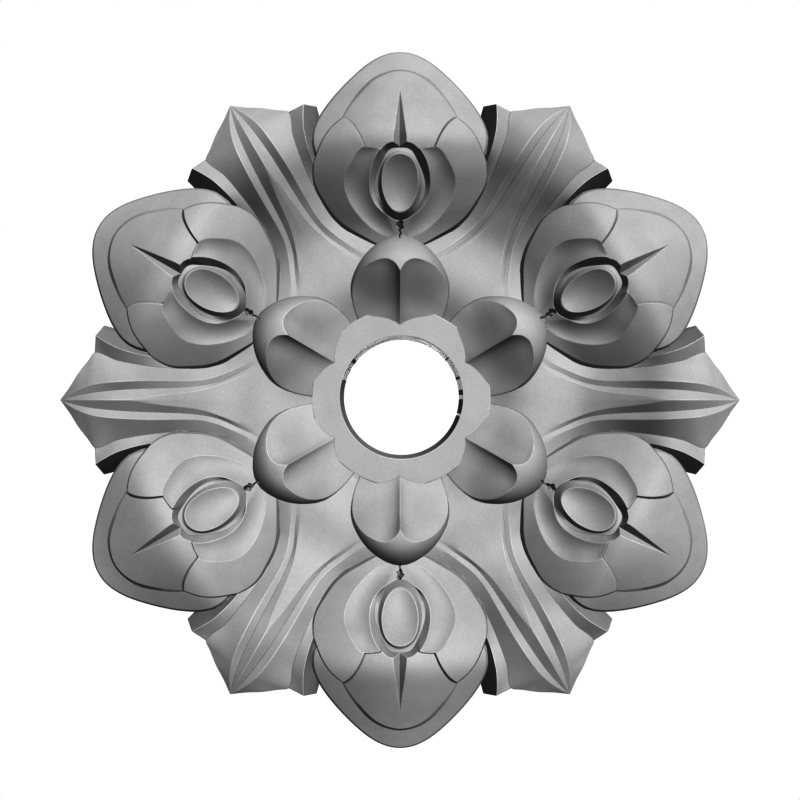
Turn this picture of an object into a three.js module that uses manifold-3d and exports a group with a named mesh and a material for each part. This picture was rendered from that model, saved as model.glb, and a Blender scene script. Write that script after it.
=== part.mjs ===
// Carved rosette: six buds and six pointed leaves round a pierced flower of six petals.
// Millimetres. The flat back lies in the XZ plane at y = 0, the carved face looks along -Y,
// and one bud points straight up (+Z). The rosette's axis is the Y axis.
//
// Inside this file a piece is laid out on its own axis: x across, y outward from the centre,
// z the height above the back. It is turned into place at the end.
import * as THREE from "three";
import { mergeVertices } from "three/addons/utils/BufferGeometryUtils.js";
import Module from "manifold-3d";

// Overall
const COUNT = 6;
const SECTOR = 360 / COUNT;
const BUD_TIP_RADIUS = 151.5;
const LEAF_TIP_RADIUS = 145.2;
const BELOW_BACK = -4; // every carved layer starts under the back and is trimmed flat at zero
const ABOVE_ALL = 90; // the open top of a cut

// Centre flower; the hole and its ring stand a little off the axis
const RING_FACE = 34.5;
const RING_RADIUS = 39.5;
const HOLE_RADIUS = 27.3;
const HOLE_OFFSET = { x: 0.65, y: 1.2 };
const HUB_RADIUS = 44;
const HUB_FACE = 30;

const PETAL_END = 72.3;
const PETAL_ROOT = 31;
const PETAL_CREST = { y: 57.5, z: 56.4 };
const PETAL_HALF_WIDTH = 21.6;
const PETAL_WIDEST = 49.6;
const PETAL_ROOT_HALF_WIDTH = 16.5;
const PETAL_POINTEDNESS = 1.65; // 2 gives an elliptical end, 1 a straight-sided one
const PETAL_FALL_OUT = 0.045; // falls are per square millimetre away from the crest
const PETAL_FALL_IN = 0.0165;
const PETAL_FALL_ACROSS = 0.026;
const PETAL_TURN_FROM = 0.6; // share of the way to the edge where the petal starts to turn down
const PETAL_TURN_DEPTH = 6;
const GOUGE_RIDGE = [
  [28, 31.6], [33.4, 34.5], [38, 38.4], [43.7, 43.6], [49, 49.4], [53.2, 54.3], [57, 59], [63, 67],
];
const GOUGE_MIDDLE = [
  [28, 29.2], [35.6, 33.7], [40, 36.1], [44.1, 39], [47, 41.6], [50, 44.5], [53, 47.4], [56, 50],
  [58.2, 51.8], [60.6, 54.2], [63, 57.6],
];
const GOUGE_SIDE = [
  [28, 27.4], [35.7, 32.9], [40, 35.4], [44, 38], [47, 40.1], [50, 42.4], [53, 44.7], [56, 46.8],
  [58.5, 48.6], [63, 53],
];
const GOUGE_NEAR = { x: 3, share: 0.62 }; // how far down from ridge to middle the near line lies
const GOUGE_MIDDLE_X = 10.4;
const GOUGE_SIDE_X = 17.5;
const GOUGE_BEYOND = { x: 6, share: 1.4 }; // the cut runs on past the petal's side
const GOUGE_STATIONS = [28, 50, 63];

// Bud: layers under one profile along the axis, each with its own drop and fall across
const BUD_PROFILE = [
  [64, 36.8], [72, 41.3], [76, 44.3], [82.2, 50.4], [89.6, 57.2], [96.8, 63], [104, 67], [107.9, 68.25],
  [110.5, 68.35], [116.5, 66.4], [121.2, 63.8], [131.1, 57.7], [141.4, 51.3], [153, 44.9],
];
const BUD_MIDDLE = [0, 105];
const BAND = { drop: 3.8, fallAcross: 0.0079 }; // the stepped outer band
const CORE = { drop: 0.6, fallAcross: 0.0125 }; // the domed middle petal
const SEPAL = { drop: -1, fallAcross: 0.0086 }; // the two raised sepals
const BAND_SIDE = [
  [0, BUD_TIP_RADIUS], [3.8, 151.1], [7.4, 149.9], [10.7, 148.1], [13.8, 145.9], [19.2, 140.9],
  [23.8, 135.9], [28, 130.7], [31.7, 125.4], [34.5, 120.3], [36.2, 115.6], [36.7, 111.4], [36.2, 107.2],
  [34.6, 102.6], [31, 95], [25, 84], [14, 72], [0, 67],
];
const CORE_SIDE = [
  [0, 140.9], [3.2, 140.5], [6.3, 139.5], [10.5, 137.1], [14.8, 132.8], [19, 127.5], [23.3, 120.8],
  [26, 114.5], [27.5, 106], [26.5, 96], [22, 84], [12, 73], [0, 69],
];
const SEPAL_OUTER = [[23.8, 118.3], [28.6, 114.3], [32.7, 108.7], [35, 104.2], [36.6, 100.9]];
const SEPAL_UNDER = [
  [36.6, 100.9], [37, 97.2], [36.6, 93.2], [32.9, 86.2], [29, 80.8], [23.7, 76.2], [17.2, 72.4], [9, 68],
  [-1.5, 64.5],
];
const SEPAL_INNER = [[14.8, 104.9], [16.5, 108.8], [18.9, 113], [21.2, 116], [23.8, 118.3]];
const SEPAL_TOP = [[-1.5, 101], [5.6, 103.2], [9.1, 104.2], [14.8, 104.9]];
const SEPAL_MIDDLE = [20, 98];
// The steep walls: how far they run out before they drop straight down
const BAND_WALL = { runAtTip: 1, runAtSide: 1, moreInward: 0, drop: 4.5 };
const CORE_WALL = { runAtTip: 1.7, runAtSide: 2.2, moreInward: 0, drop: 3.6 };
const SEPAL_WALL = { runAtTip: 1.7, runAtSide: 1, moreInward: 1.5, drop: 5.2 };
const SPIKE = { start: 105.5, wideAt: 108.6, end: 131.8, halfWidth: 2.8, depth: 4.8, spread: 1.3 };

// Eye of the bud in polar form about its own centre: [angle in degrees, value], 90 points outward
const EYE_Y = 91.6;
const DISH_EDGE_Z = 57;
const DISH_TILT = 0.62; // rise per millimetre outward
const DISH_DEPTH = 3.35;
const DISH_RADIUS = [[-90, 11.1], [-58, 9.5], [-28, 8.05], [0, 7.8], [28, 8.5], [57, 10.2], [90, 11.1]];
const TROUGH_RADIUS = [[-90, 13.3], [-56, 12.2], [-24, 10.5], [3, 10.1], [30, 10.6], [58, 12], [90, 13.4]];
const FOOT_RADIUS = [
  [-90, 13.5], [-56, 12.4], [-24, 11.3], [3, 10.9], [30, 10.9], [58, 12.6], [70, 14.1], [90, 14.2],
];
const RIM_RADIUS = [
  [-90, 14.3], [-74, 13.5], [-43, 12.95], [-16, 13], [10, 12.9], [24, 13.2], [40, 13.9], [56, 14.7],
  [70, 15.5], [90, 15.3],
];
const FLANK_DROP = [[-90, 6.6], [-60, 6], [-30, 4.8], [0, 3.7], [30, 2.8], [60, 2], [90, 1.8]];
const FLANK_STEEP = { run: 0.55, share: 0.92 }; // beside the dish the flank drops early, then levels
const FLANK_STRAIGHT = { from: -20, over: 40 }; // below the dish it falls evenly
const COLLAR_RADIUS = [
  [-90, 21.6], [-76, 21.2], [-42, 21], [-13.6, 22.9], [3, 23.7], [23.5, 21.9], [42.4, 20], [50, 17.6],
  [57, 15.3],
];
const COLLAR_END = 57; // the collar runs out at this angle
const COLLAR_SLOPE_IN = -0.6; // the cove's slope at the rim, then at its outer edge
const COLLAR_SLOPE_OUT = [[-90, 0], [-60, 0.65], [-30, 1.1], [0, 1], [30, 0.95], [45, 0.9], [57, 0.9]];
const COLLAR_OVERRUN = { out: 0.3, up: 0.6 };
const LIP_LIFT = 0.2; // beyond the collar's end the cut stops just over the middle petal
const LEAST_STEP = 0.05;

// Nick at the root of the bud: a V along a bent line
const NICK_LINE = [
  [0, 70], [-0.2, 71.6], [0.2, 72.9], [-0.2, 74], [0.3, 74.9], [-0.3, 75.9], [0.25, 76.9], [0.1, 78.2],
];
const NICK_HALF_WIDTH = [
  [70, 0.25], [72.6, 0.3], [73.8, 0.5], [74.8, 1.2], [76, 1.45], [77.2, 1], [78.2, 0.2],
];
const NICK_DEPTH = 6;
const NICK_SPREAD = 1.2; // half width where the V passes out above the surface
const NICK_RISE = 1;

// Pointed leaf: height along the axis, then crease lines by how far out and how far under it they lie
const LEAF_PROFILE = [
  [36, 28], [41, 30.6], [47, 34.4], [52.6, 37.4], [57, 38.6], [61.4, 39], [65.7, 38.9], [70, 38.8],
  [74.3, 39.1], [78.6, 40], [82.7, 41.8], [86.9, 44.4], [91, 47.3], [95, 50.4], [99.1, 53.9], [103.1, 57.4],
  [107, 60.8], [110.8, 63.4], [114.7, 64.8], [119, 65], [123.5, 64.2], [128, 62.7], [132.6, 60.6],
  [137.9, 57.4], [LEAF_TIP_RADIUS, 52],
];
const FIELD_X = [
  [36, 9], [57, 18], [62.4, 14.9], [69.4, 11], [78.1, 7.3], [85, 4.7], [94.7, 2.9], [103.6, 1.7], [112, 0],
];
const FIELD_DROP = 0.3;
const VALLEY_X = [
  [36, 11], [57, 20.5], [62.4, 16.4], [70.4, 12.4], [78.1, 8.8], [88.5, 6.2], [98.1, 5.4], [110.4, 4.8],
  [124, 3.8], [135.6, 2.2], [LEAF_TIP_RADIUS, 0],
];
const VALLEY_DROP = [
  [36, 0], [60, 0.2], [70.4, 1.2], [78.1, 1.9], [88.5, 2.2], [98.1, 3.2], [110.4, 4], [124, 2.8],
  [135.6, 1.1], [LEAF_TIP_RADIUS, 0],
];
const RIDGE_X = [
  [36, 13], [57, 23], [64, 18.3], [75.6, 12.4], [83.1, 9.5], [91.9, 8.4], [103.9, 8.3], [116.2, 7.7],
  [129, 6.3], [137, 3.9], [LEAF_TIP_RADIUS, 0],
];
const RIDGE_DROP = [
  [36, 0], [60, -0.2], [75.6, 1], [83.1, 1.3], [91.9, 1.6], [103.9, 1.7], [116.2, 0.9], [129, 0.4],
  [137, 0.1], [LEAF_TIP_RADIUS, 0],
];
const SHOULDER = 129.7; // station where the outline leaves the outer valley for the tip
const OUTER_VALLEY_X = [
  [36, 16], [57, 29], [64.7, 24.7], [70.5, 22], [78.5, 17.6], [87, 14.6], [94.9, 13.6], [102.1, 14],
  [111.3, 15.2], [119.4, 16.8], [SHOULDER, 20.4], [132.6, 16.6], [136.6, 11.4], [140.6, 5.4],
  [LEAF_TIP_RADIUS, 0],
];
const OUTER_VALLEY_DROP = [
  [36, 0], [60, 0.4], [64.7, 1.2], [70.5, 2.8], [78.5, 4.6], [87, 5.3], [94.9, 6.2], [102.1, 7.4],
  [111.3, 7.7], [119.4, 7.9], [SHOULDER, 7.4], [132.6, 5.9], [136.6, 3.3], [140.6, 1.4],
  [LEAF_TIP_RADIUS, 0],
];
const STRIP_START = 105.8; // station where the strip comes out from under the bud
const STRIP_EDGE_X = [
  [60, 34], [72, 27], [90, 18], [100, 18], [STRIP_START, 18.6], [110.6, 19.5], [118.5, 21.9], [124, 24.3],
  [SHOULDER, 27.2],
];
const STRIP_EDGE_DROP = [
  [60, 1], [90, 8], [100, 7.4], [STRIP_START, 5.9], [110.6, 4.3], [118.5, 3.8], [SHOULDER, 3.3],
];
const WALL_FOOT_X = [
  [60, 36], [72, 33], [90, 24], [100, 22], [STRIP_START, 21.6], [110.6, 23.2], [118, 27], [124, 30.1],
  [SHOULDER, 32.6],
];
const WALL_FOOT_Z = 40;
const WALL_LEAST = 0.4; // least height of the wall under the strip
const WALL_FROM = 72; // nearer the centre the wall is hidden and only follows the outer valley
const ROUND_INSIDE = { full: 62, none: 76 }; // stations between which the height stops going by distance
const END_SLANT = { from: 118, rate: 0.215 }; // the strip's end falls back per millimetre outward
const END_LEAN = 1.4; // the end's foot stands this much further out than its edge

// Fineness of the faceted solid
const LEAF_NAMED = [36, 57, 66, 76, 91, STRIP_START, 112, 118, SHOULDER];
const LEAF_STEPS = 8;
const LEAF_END_STATIONS = [SHOULDER, 132.6, 136.6, 140.6, LEAF_TIP_RADIUS];
const OUTLINE_STEP = 12;
const BUD_RINGS = 3;
const SPIKE_STEPS = 3;
const NICK_STEP = 1.8;
const EYE_AROUND = 20;
const DISH_SHARES = [0.55, 1];
const COLLAR_SHARES = [0, 0.5, 1];
const PETAL_STATIONS = 6;
const PETAL_ACROSS = 3;
const GOUGE_STEPS = 8;
const ROUND_SIDES = 40;
const THIN = 0.02; // keeps a cut that fades to a point from losing its faces

const wasm = await Module();
wasm.setup();
const { Manifold } = wasm;

const radians = (degrees) => (degrees * Math.PI) / 180;
const within = (value, low, high) => Math.min(high, Math.max(low, value));

// A smooth curve through knots [at, value] that never swings past them.
function through(knots) {
  const last = knots.length - 1;
  const rise = [];
  for (let i = 0; i < last; i++) {
    rise.push((knots[i + 1][1] - knots[i][1]) / (knots[i + 1][0] - knots[i][0]));
  }
  const slope = knots.map((_, i) => {
    if (i === 0) return rise[0];
    if (i === last) return rise[last - 1];
    if (rise[i - 1] * rise[i] <= 0) return 0;
    return (2 * rise[i - 1] * rise[i]) / (rise[i - 1] + rise[i]);
  });
  return (at) => {
    if (at <= knots[0][0]) return knots[0][1];
    if (at >= knots[last][0]) return knots[last][1];
    let i = 0;
    while (at > knots[i + 1][0]) i++;
    const span = knots[i + 1][0] - knots[i][0];
    const s = (at - knots[i][0]) / span;
    const s2 = s * s;
    const s3 = s2 * s;
    return (
      (2 * s3 - 3 * s2 + 1) * knots[i][1] +
      (s3 - 2 * s2 + s) * span * slope[i] +
      (3 * s2 - 2 * s3) * knots[i + 1][1] +
      (s3 - s2) * span * slope[i + 1]
    );
  };
}

// A curve through knots [at, value] with an even bend from knot to knot.
function smooth(knots) {
  const last = knots.length - 1;
  const at = knots.map((k) => k[0]);
  const value = knots.map((k) => k[1]);
  const span = [];
  const rise = [];
  for (let i = 0; i < last; i++) {
    span.push(at[i + 1] - at[i]);
    rise.push((value[i + 1] - value[i]) / span[i]);
  }
  const bend = knots.map(() => 0);
  const carry = knots.map(() => 0);
  for (let i = 1; i < last; i++) {
    const pivot = 2 * (span[i - 1] + span[i]) - span[i - 1] * carry[i - 1];
    carry[i] = span[i] / pivot;
    bend[i] = (6 * (rise[i] - rise[i - 1]) - span[i - 1] * bend[i - 1]) / pivot;
  }
  for (let i = last - 1; i > 0; i--) {
    bend[i] -= carry[i] * bend[i + 1];
  }
  return (where) => {
    const x = within(where, at[0], at[last]);
    let i = 0;
    while (i < last - 1 && x > at[i + 1]) i++;
    const a = at[i + 1] - x;
    const b = x - at[i];
    const h = span[i];
    return (
      (bend[i] * a ** 3 + bend[i + 1] * b ** 3) / (6 * h) +
      (value[i] / h - (bend[i] * h) / 6) * a +
      (value[i + 1] / h - (bend[i + 1] * h) / 6) * b
    );
  };
}

// The same over the up angle, even where it passes the lowest and the highest point.
function smoothRound(knots) {
  const low = knots.slice(1, 4).map((k) => [-180 - k[0], k[1]]);
  const high = knots.slice(-4, -1).map((k) => [180 - k[0], k[1]]);
  return smooth([...low.reverse(), ...knots, ...high.reverse()]);
}

// An even number of even steps on a smooth curve through the given points.
function along(points, step) {
  const length = [0];
  for (let i = 1; i < points.length; i++) {
    const [a, b] = [points[i - 1], points[i]];
    length.push(length[i - 1] + Math.hypot(b[0] - a[0], b[1] - a[1]));
  }
  const total = length[length.length - 1];
  const xAt = smooth(points.map((p, i) => [length[i], p[0]]));
  const yAt = smooth(points.map((p, i) => [length[i], p[1]]));
  const count = 2 * Math.max(1, Math.round(total / step / 2));
  const out = [];
  for (let k = 0; k <= count; k++) {
    out.push([xAt((total * k) / count), yAt((total * k) / count)]);
  }
  return out;
}

// Smooth runs joined at their corners into one closed line.
function closedOutline(runs) {
  return runs.flatMap((run) => along(run, OUTLINE_STEP).slice(0, -1));
}

// Stations from first to last: every named station, with even steps between.
function stations(named, steps) {
  const first = named[0];
  const last = named[named.length - 1];
  const step = (last - first) / steps;
  const out = [];
  for (let i = 0; i + 1 < named.length; i++) {
    const parts = Math.max(1, Math.round((named[i + 1] - named[i]) / step));
    for (let k = 0; k < parts; k++) {
      out.push(named[i] + ((named[i + 1] - named[i]) * k) / parts);
    }
  }
  out.push(last);
  return out;
}

// A closed three.js geometry as a solid that can be joined and cut.
function solidOf(geometry) {
  const bare = geometry.clone();
  bare.deleteAttribute("normal");
  bare.deleteAttribute("uv");
  const merged = mergeVertices(bare, 1e-4);
  return new Manifold(
    new wasm.Mesh({
      numProp: 3,
      vertProperties: new Float32Array(merged.attributes.position.array),
      triVerts: new Uint32Array(merged.index.array),
    }),
  );
}

function geometryOf(solid) {
  const mesh = solid.getMesh();
  const geometry = new THREE.BufferGeometry();
  geometry.setAttribute("position", new THREE.BufferAttribute(mesh.vertProperties, mesh.numProp));
  geometry.setIndex(new THREE.BufferAttribute(mesh.triVerts, 1));
  return geometry;
}

// A closed solid between a grid of points and a flat level above or below it.
// With round set, each row is a closed ring and the first row is a single point.
function solidFrom(rows, level, round = false) {
  const points = [];
  const known = new Map();
  const triangles = [];
  const add = (x, y, z) => {
    const key = [x, y, z].map((v) => Math.round(v * 1e4)).join();
    if (!known.has(key)) {
      known.set(key, points.length / 3);
      points.push(x, y, z);
    }
    return known.get(key);
  };
  const face = (a, b, c) => {
    if (a !== b && b !== c && c !== a) triangles.push(a, b, c);
  };
  const wall = (a, b, c, d) => {
    face(a, b, c);
    face(a, c, d);
  };
  const top = rows.map((row) => row.map((p) => add(p[0], p[1], p[2])));
  const flat = rows.map((row) => row.map((p) => add(p[0], p[1], level)));
  const wide = rows[0].length;
  const across = round ? wide : wide - 1;
  const end = rows.length - 1;
  for (let i = 0; i < end; i++) {
    for (let j = 0; j < across; j++) {
      const k = (j + 1) % wide;
      wall(top[i][j], top[i][k], top[i + 1][k], top[i + 1][j]);
      wall(flat[i][j], flat[i + 1][j], flat[i + 1][k], flat[i][k]);
    }
  }
  for (let j = 0; j < across; j++) {
    const k = (j + 1) % wide;
    if (!round) wall(top[0][j], flat[0][j], flat[0][k], top[0][k]);
    wall(top[end][k], flat[end][k], flat[end][j], top[end][j]);
  }
  if (!round) {
    const side = wide - 1;
    for (let i = 0; i < end; i++) {
      wall(top[i + 1][0], flat[i + 1][0], flat[i][0], top[i][0]);
      wall(top[i][side], flat[i][side], flat[i + 1][side], top[i + 1][side]);
    }
  }
  const isCut = level > rows[0][0][2];
  if (isCut !== round) {
    for (let t = 0; t < triangles.length; t += 3) {
      [triangles[t], triangles[t + 1]] = [triangles[t + 1], triangles[t]];
    }
  }
  const geometry = new THREE.BufferGeometry();
  geometry.setAttribute("position", new THREE.Float32BufferAttribute(points, 3));
  geometry.setIndex(triangles);
  return solidOf(geometry);
}

// A row of points, given from the axis outward, with its mirror image on the other side.
function mirrored(half) {
  const left = half.slice(1).map((p) => [-p[0], p[1], p[2]]);
  return [...left.reverse(), ...half];
}

// Six copies round the axis; x across, y outward, the first one pointing up the y axis.
function around(piece, turn) {
  const copies = [];
  for (let k = 0; k < COUNT; k++) {
    copies.push(solidOf(geometryOf(piece).rotateZ(radians(turn + k * SECTOR))));
  }
  return Manifold.union(copies);
}

// Pointed leaf
const leafHeight = smooth(LEAF_PROFILE);
const fieldX = smooth(FIELD_X);
const valleyX = smooth(VALLEY_X);
const valleyDrop = smooth(VALLEY_DROP);
const ridgeX = smooth(RIDGE_X);
const ridgeDrop = smooth(RIDGE_DROP);
const outerX = through(OUTER_VALLEY_X);
const outerDrop = through(OUTER_VALLEY_DROP);
const stripX = through(STRIP_EDGE_X);
const stripDrop = through(STRIP_EDGE_DROP);
const footX = through(WALL_FOOT_X);

// Near the centre the leaf's height goes by the distance from the middle, further out by the station.
function leafZ(x, station) {
  const share = within((ROUND_INSIDE.none - station) / (ROUND_INSIDE.none - ROUND_INSIDE.full), 0, 1);
  return leafHeight(station + (Math.hypot(x, station) - station) * share);
}

function leafRow(station, pastShoulder) {
  const outer = outerX(station);
  const point = (x, drop) => [x, station, leafZ(x, station) - drop];
  const row = [
    point(0, 0),
    point(fieldX(station), FIELD_DROP * Math.min(1, fieldX(station))),
    point(valleyX(station), valleyDrop(station)),
    point(ridgeX(station), ridgeDrop(station)),
    point(outer, outerDrop(station)),
  ];
  if (pastShoulder) return mirrored([...row, row[4], row[4]]);
  const ended = within((station - END_SLANT.from) / (SHOULDER - END_SLANT.from), 0, 1);
  const edge = stripX(station);
  const foot = footX(station);
  const hidden = station < WALL_FROM;
  const height = hidden ? row[4][2] - WALL_LEAST : leafZ(0, station) - stripDrop(station);
  const back = station - END_SLANT.rate * ended * (edge - outer);
  row.push([edge, back, height]);
  row.push([foot, back + END_LEAN * ended, Math.min(WALL_FOOT_Z, height - WALL_LEAST)]);
  return mirrored(row);
}

function leaf() {
  const rows = stations(LEAF_NAMED, LEAF_STEPS).map((station) => leafRow(station, false));
  rows.push(...LEAF_END_STATIONS.map((station) => leafRow(station, true)));
  return solidFrom(rows, BELOW_BACK);
}

// Bud
const budHeight = smooth(BUD_PROFILE);
const dome = (x, y, layer) => budHeight(y) - layer.fallAcross * x * x - layer.drop;

// A layer of the bud: its domed face out to the outline, a steep wall, then straight down.
function budLayer(outline, middle, layer, wall) {
  const rings = [];
  for (let k = 0; k <= BUD_RINGS; k++) {
    const share = Math.sin(((k / BUD_RINGS) * Math.PI) / 2);
    rings.push(
      outline.map((p) => {
        const x = middle[0] + (p[0] - middle[0]) * share;
        const y = middle[1] + (p[1] - middle[1]) * share;
        return [x, y, dome(x, y, layer)];
      }),
    );
  }
  const foot = rings[BUD_RINGS].map(([x, y, z], i) => {
    const before = outline[(i + outline.length - 1) % outline.length];
    const after = outline[(i + 1) % outline.length];
    const size = Math.hypot(after[0] - before[0], after[1] - before[1]);
    const nx = (after[1] - before[1]) / size;
    const ny = (before[0] - after[0]) / size;
    const upward = Math.max(0, ny);
    const inward = nx * middle[0] < 0 ? Math.abs(nx) * upward : 0;
    const run = wall.runAtSide + (wall.runAtTip - wall.runAtSide) * upward ** 2 + wall.moreInward * inward;
    return [x + nx * run, y + ny * run, z - wall.drop];
  });
  return solidFrom([...rings, foot], BELOW_BACK, true);
}

// The anticlockwise outline of a layer from its right half, given from the tip down to the root.
function bothSides(half) {
  const left = half.slice(1, -1).map((p) => [-p[0], p[1]]);
  const root = half[half.length - 1];
  return closedOutline([[...[...half].reverse(), ...left, root]]);
}

// One of the two sepals: side is 1 for the right one and -1 for the left one.
function sepal(side) {
  const runs = [SEPAL_UNDER, SEPAL_OUTER, SEPAL_INNER, SEPAL_TOP].map((run) => [...run].reverse());
  runs.push([SEPAL_TOP[0], SEPAL_UNDER[SEPAL_UNDER.length - 1]]);
  const right = closedOutline(runs);
  const outline = side > 0 ? right : right.map((p) => [-p[0], p[1]]).reverse();
  return budLayer(outline, [side * SEPAL_MIDDLE[0], SEPAL_MIDDLE[1]], SEPAL, SEPAL_WALL);
}

// The V-shaped groove that runs from the eye out to a point.
function spike() {
  const rows = stations([SPIKE.start, SPIKE.wideAt, SPIKE.end], SPIKE_STEPS).map((y) => {
    const share = Math.min(1, (SPIKE.end - y) / (SPIKE.end - SPIKE.wideAt));
    const wide = Math.max(THIN, SPIKE.halfWidth * share);
    const deep = Math.max(THIN, SPIKE.depth * share);
    const at = (s) => [s * wide, y, dome(s * wide, y, CORE) + deep * (s - 1)];
    return mirrored([at(0), at(SPIKE.spread)]);
  });
  return solidFrom(rows, ABOVE_ALL);
}

// The bent nick at the root of the bud, behind the flower's petal.
function nick() {
  const halfWidth = smooth(NICK_HALF_WIDTH);
  const rows = along(NICK_LINE, NICK_STEP).map(([x, y]) => {
    const wide = NICK_SPREAD * Math.max(THIN, halfWidth(y));
    const top = dome(x, y, SEPAL);
    return [[x - wide, y, top + NICK_RISE], [x, y, top - NICK_DEPTH], [x + wide, y, top + NICK_RISE]];
  });
  return solidFrom(rows, ABOVE_ALL);
}

const dishRadius = smoothRound(DISH_RADIUS);
const troughRadius = smoothRound(TROUGH_RADIUS);
const footRadius = smoothRound(FOOT_RADIUS);
const rimRadius = smoothRound(RIM_RADIUS);
const flankDrop = smoothRound(FLANK_DROP);
const collarRadius = smooth(COLLAR_RADIUS);
const collarSlopeOut = smooth(COLLAR_SLOPE_OUT);

// One column of the eye, from its middle out: dish, flank, trough, wall to the rim, cove of the collar.
function eyeColumn(turn) {
  const c = Math.cos(turn);
  const s = Math.sin(turn);
  const up = (Math.asin(s) * 180) / Math.PI;
  const dish = dishRadius(up);
  const trough = troughRadius(up);
  const foot = Math.max(footRadius(up), trough + LEAST_STEP);
  const rim = Math.max(rimRadius(up), foot + LEAST_STEP);
  const ended = up > COLLAR_END;
  const layer = ended ? CORE : SEPAL;
  const lift = ended ? LIP_LIFT : 0;
  const width = ended ? 2 * LEAST_STEP : Math.max(2 * LEAST_STEP, collarRadius(up) - rim);
  const bend = collarSlopeOut(up) - COLLAR_SLOPE_IN;
  const surface = (r) => dome(r * c, EYE_Y + r * s, layer) + lift;
  const cove = (share) => width * (COLLAR_SLOPE_IN * (share - 1) + (bend * (share * share - 1)) / 2);
  const collar = (share) => surface(rim + width * share) + (ended ? 0 : cove(share));
  const edge = DISH_EDGE_Z + DISH_TILT * dish * s;
  const low = Math.min(edge - flankDrop(up), collar(0));
  const straight = within((FLANK_STRAIGHT.from - up) / FLANK_STRAIGHT.over, 0, 1);
  const fall = FLANK_STEEP.share + (FLANK_STEEP.run - FLANK_STEEP.share) * straight;
  const points = [[0, DISH_EDGE_Z - DISH_DEPTH]];
  for (const share of DISH_SHARES) {
    const r = dish * share;
    points.push([r, DISH_EDGE_Z + DISH_TILT * r * s - DISH_DEPTH * (1 - share * share)]);
  }
  points.push([dish + (trough - dish) * FLANK_STEEP.run, edge - (edge - low) * fall]);
  points.push([trough, low], [foot, low]);
  for (const share of COLLAR_SHARES) {
    points.push([rim + width * share, collar(share) + (share === 1 ? THIN : 0)]);
  }
  const [r, z] = points[points.length - 1];
  points.push([r + COLLAR_OVERRUN.out, z + COLLAR_OVERRUN.up]);
  return points.map(([radius, height]) => [radius * c, EYE_Y + radius * s, height]);
}

// The eye as one cut.
function eye() {
  const columns = [];
  for (let k = 0; k < EYE_AROUND; k++) {
    columns.push(eyeColumn((2 * Math.PI * (k + 0.5)) / EYE_AROUND));
  }
  const rings = columns[0].map((_, ring) => columns.map((column) => column[ring]));
  return solidFrom(rings, ABOVE_ALL, true);
}

function bud() {
  return budLayer(bothSides(BAND_SIDE), BUD_MIDDLE, BAND, BAND_WALL)
    .add(budLayer(bothSides(CORE_SIDE), BUD_MIDDLE, CORE, CORE_WALL))
    .add(sepal(1))
    .add(sepal(-1))
    .subtract(spike())
    .subtract(eye());
}

// Petal of the centre flower
function petalHalfWidth(y) {
  if (y <= PETAL_WIDEST) {
    const s = (y - PETAL_ROOT) / (PETAL_WIDEST - PETAL_ROOT);
    return PETAL_ROOT_HALF_WIDTH + (PETAL_HALF_WIDTH - PETAL_ROOT_HALF_WIDTH) * Math.sin((s * Math.PI) / 2);
  }
  const s = (y - PETAL_WIDEST) / (PETAL_END - PETAL_WIDEST);
  return PETAL_HALF_WIDTH * Math.max(0, 1 - s ** PETAL_POINTEDNESS) ** (1 / PETAL_POINTEDNESS);
}

// Height of the petal's dome; edge runs from 0 in the middle to 1 at the outline.
function petalZ(x, y, edge) {
  const away = y - PETAL_CREST.y;
  const fall = away > 0 ? PETAL_FALL_OUT : PETAL_FALL_IN;
  const turn = Math.max(0, edge - PETAL_TURN_FROM) / (1 - PETAL_TURN_FROM);
  const rolled = PETAL_TURN_DEPTH * (1 - Math.sqrt(Math.max(0, 1 - turn * turn)));
  return PETAL_CREST.z - fall * away * away - PETAL_FALL_ACROSS * x * x - rolled;
}

function petalBody() {
  const rows = [];
  for (let i = 0; i <= PETAL_STATIONS; i++) {
    const y = PETAL_ROOT + (PETAL_END - PETAL_ROOT) * Math.sin(((i / PETAL_STATIONS) * Math.PI) / 2);
    const wide = petalHalfWidth(y);
    const reach = Math.max(0, (y - PETAL_WIDEST) / (PETAL_END - PETAL_WIDEST));
    const row = [];
    for (let j = -PETAL_ACROSS; j <= PETAL_ACROSS; j++) {
      const x = wide * Math.sin(((j / PETAL_ACROSS) * Math.PI) / 2);
      const across = Math.abs(x) / (reach > 0 ? PETAL_HALF_WIDTH : wide);
      const sum = across ** PETAL_POINTEDNESS + reach ** PETAL_POINTEDNESS;
      row.push([x, y, petalZ(x, y, Math.min(1, sum ** (1 / PETAL_POINTEDNESS)))]);
    }
    rows.push(row);
  }
  return solidFrom(rows, BELOW_BACK);
}

// The gouge in the petal: two facets that meet in a ridge on its axis.
function gouge() {
  const ridgeAt = smooth(GOUGE_RIDGE);
  const middleAt = smooth(GOUGE_MIDDLE);
  const sideAt = smooth(GOUGE_SIDE);
  const rows = stations(GOUGE_STATIONS, GOUGE_STEPS).map((y) => {
    const ridge = ridgeAt(y);
    const middle = middleAt(y);
    const side = sideAt(y);
    return mirrored([
      [0, y, ridge],
      [GOUGE_NEAR.x, y, ridge + (middle - ridge) * GOUGE_NEAR.share],
      [GOUGE_MIDDLE_X, y, middle],
      [GOUGE_SIDE_X, y, side],
      [GOUGE_SIDE_X + GOUGE_BEYOND.x, y, side + GOUGE_BEYOND.share * (side - middle)],
    ]);
  });
  return solidFrom(rows, ABOVE_ALL);
}

// An upright round post between two levels.
function post(radius, x, y, from, to) {
  const round = new THREE.CylinderGeometry(radius, radius, to - from, ROUND_SIDES);
  return solidOf(round.rotateX(Math.PI / 2).translate(x, y, (from + to) / 2));
}

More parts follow.
